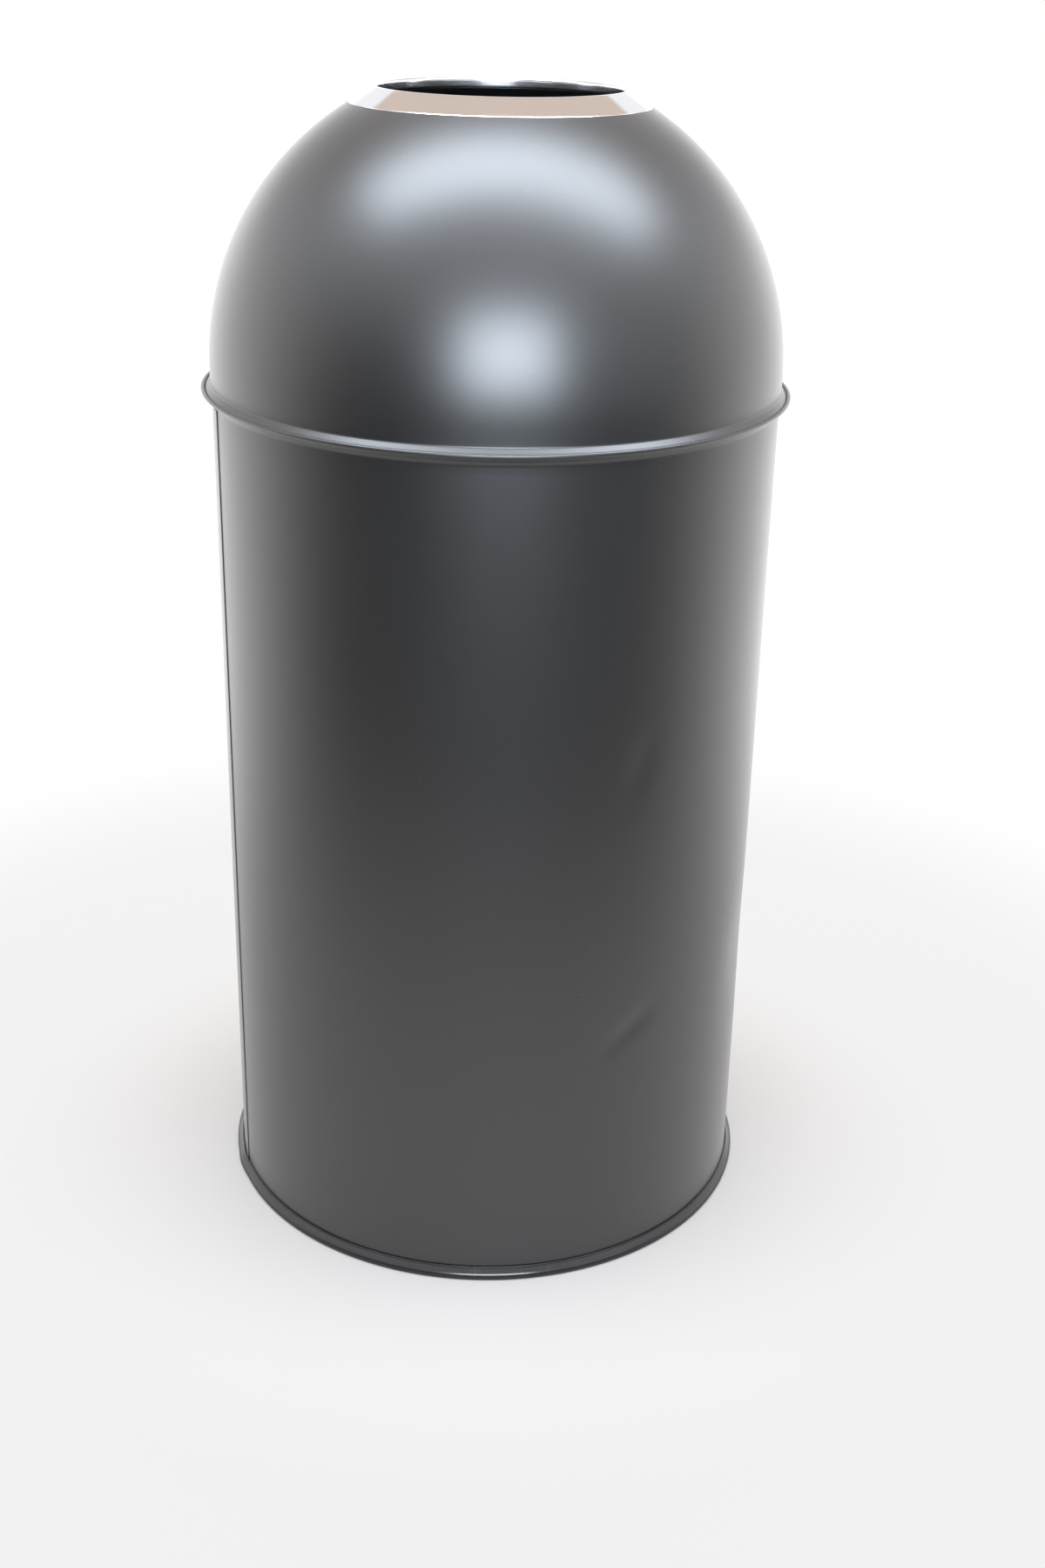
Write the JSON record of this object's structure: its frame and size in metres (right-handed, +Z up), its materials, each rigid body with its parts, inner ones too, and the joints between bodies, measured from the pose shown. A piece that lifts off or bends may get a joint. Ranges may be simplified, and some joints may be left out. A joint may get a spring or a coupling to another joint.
{
  "type": "trash can",
  "caption": "Tall round open-top trash can: painted steel body, lift-off dome with a bright-ringed opening, and a lift-out galvanised pail with a swinging wire bail.",
  "frame": {"origin": "centre of the base ring on the floor", "axes": "+Z up along the can's axis, -Y to the front that the picture shows, +X to its right"},
  "size_m": [0.38, 0.3799, 0.7533],
  "materials": {
    "black_paint": "satin",
    "black_plastic": "semi-gloss",
    "bright_trim": "polished",
    "galvanised": "spangled",
    "steel_wire": "satin"
  },
  "bodies": {
    "can": {"body_shell": "black_paint", "base_ring": "black_plastic", "base_pan": "black_paint"},
    "pail": {"liner_wall": "galvanised", "liner_bottom": "galvanised", "liner_rim_wire": "steel_wire", "bail_ear_right": "galvanised", "bail_ear_left": "galvanised", "ear_rivets_right": "steel_wire", "ear_rivets_left": "steel_wire"},
    "dome": {"dome_cover": "black_paint", "dome_collar": "black_paint", "opening_trim": "bright_trim"},
    "bail": {"bail_handle": "steel_wire"}
  },
  "joints": [
    {"name": "liner_lift", "type": "slide", "parent": "can", "child": "pail", "axis": [0, 0, 1], "range_m": [0, 0.6]},
    {"name": "dome_lift", "type": "slide", "parent": "pail", "child": "dome", "axis": [0, 0, 1], "range_m": [0, 0.3]},
    {"name": "bail_swing", "type": "hinge", "parent": "pail", "child": "bail", "pos_m": [0, 0, 0.5535], "axis": [1, 0, 0], "range_deg": [0, 183.8]}
  ]
}
